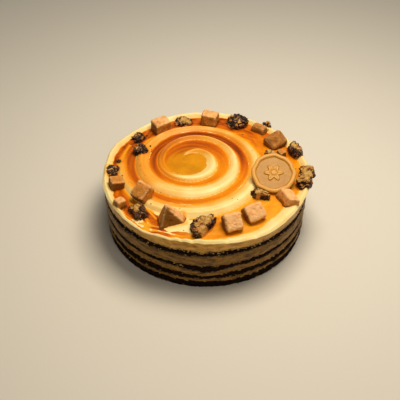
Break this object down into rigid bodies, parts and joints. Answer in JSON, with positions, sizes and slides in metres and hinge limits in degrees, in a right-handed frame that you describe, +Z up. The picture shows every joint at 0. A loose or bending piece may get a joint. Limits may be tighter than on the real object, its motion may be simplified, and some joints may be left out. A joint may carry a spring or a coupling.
{
  "type": "caramel torte",
  "caption": "Round layer torte with a spiral of cream and caramel sauce on top, edged with fudge pieces, chopped dates and a caramel chocolate seal.",
  "frame": {"origin": "centre of the flat underside of the bottom sponge layer", "axes": "+Z up through the layers, +Y towards the back, +X to the right as the picture shows it; the chocolate seal lies at the right"},
  "size_m": [0.1842, 0.1792, 0.0678],
  "materials": {
    "cream": "moist cream, caramel sauce on the top",
    "sponge": "open cocoa crumb",
    "fudge": "fine sugar grain, satin",
    "date": "wrinkled, sticky",
    "seal": "moulded caramel chocolate, satin"
  },
  "bodies": {
    "root": {"sponge_base": "sponge", "cream_thin": "cream", "sponge_low": "sponge", "cream_mid": "cream", "sponge_mid": "sponge", "cream_upper": "cream", "sponge_top": "sponge", "cream_top": "cream", "fudge_01": "fudge", "fudge_02": "fudge", "fudge_03": "fudge", "fudge_04": "fudge", "fudge_05": "fudge", "fudge_06": "fudge", "fudge_07": "fudge", "fudge_08": "fudge", "fudge_09": "fudge", "fudge_10": "fudge", "fudge_11": "fudge", "fudge_12": "fudge", "date_01": "date", "date_02": "date", "date_03": "date", "date_04": "date", "date_05": "date", "date_06": "date", "date_07": "date", "date_08": "date", "date_09": "date", "date_10": "date", "date_11": "date", "date_12": "date", "date_13": "date", "seal": "seal"}
  },
  "joints": []
}
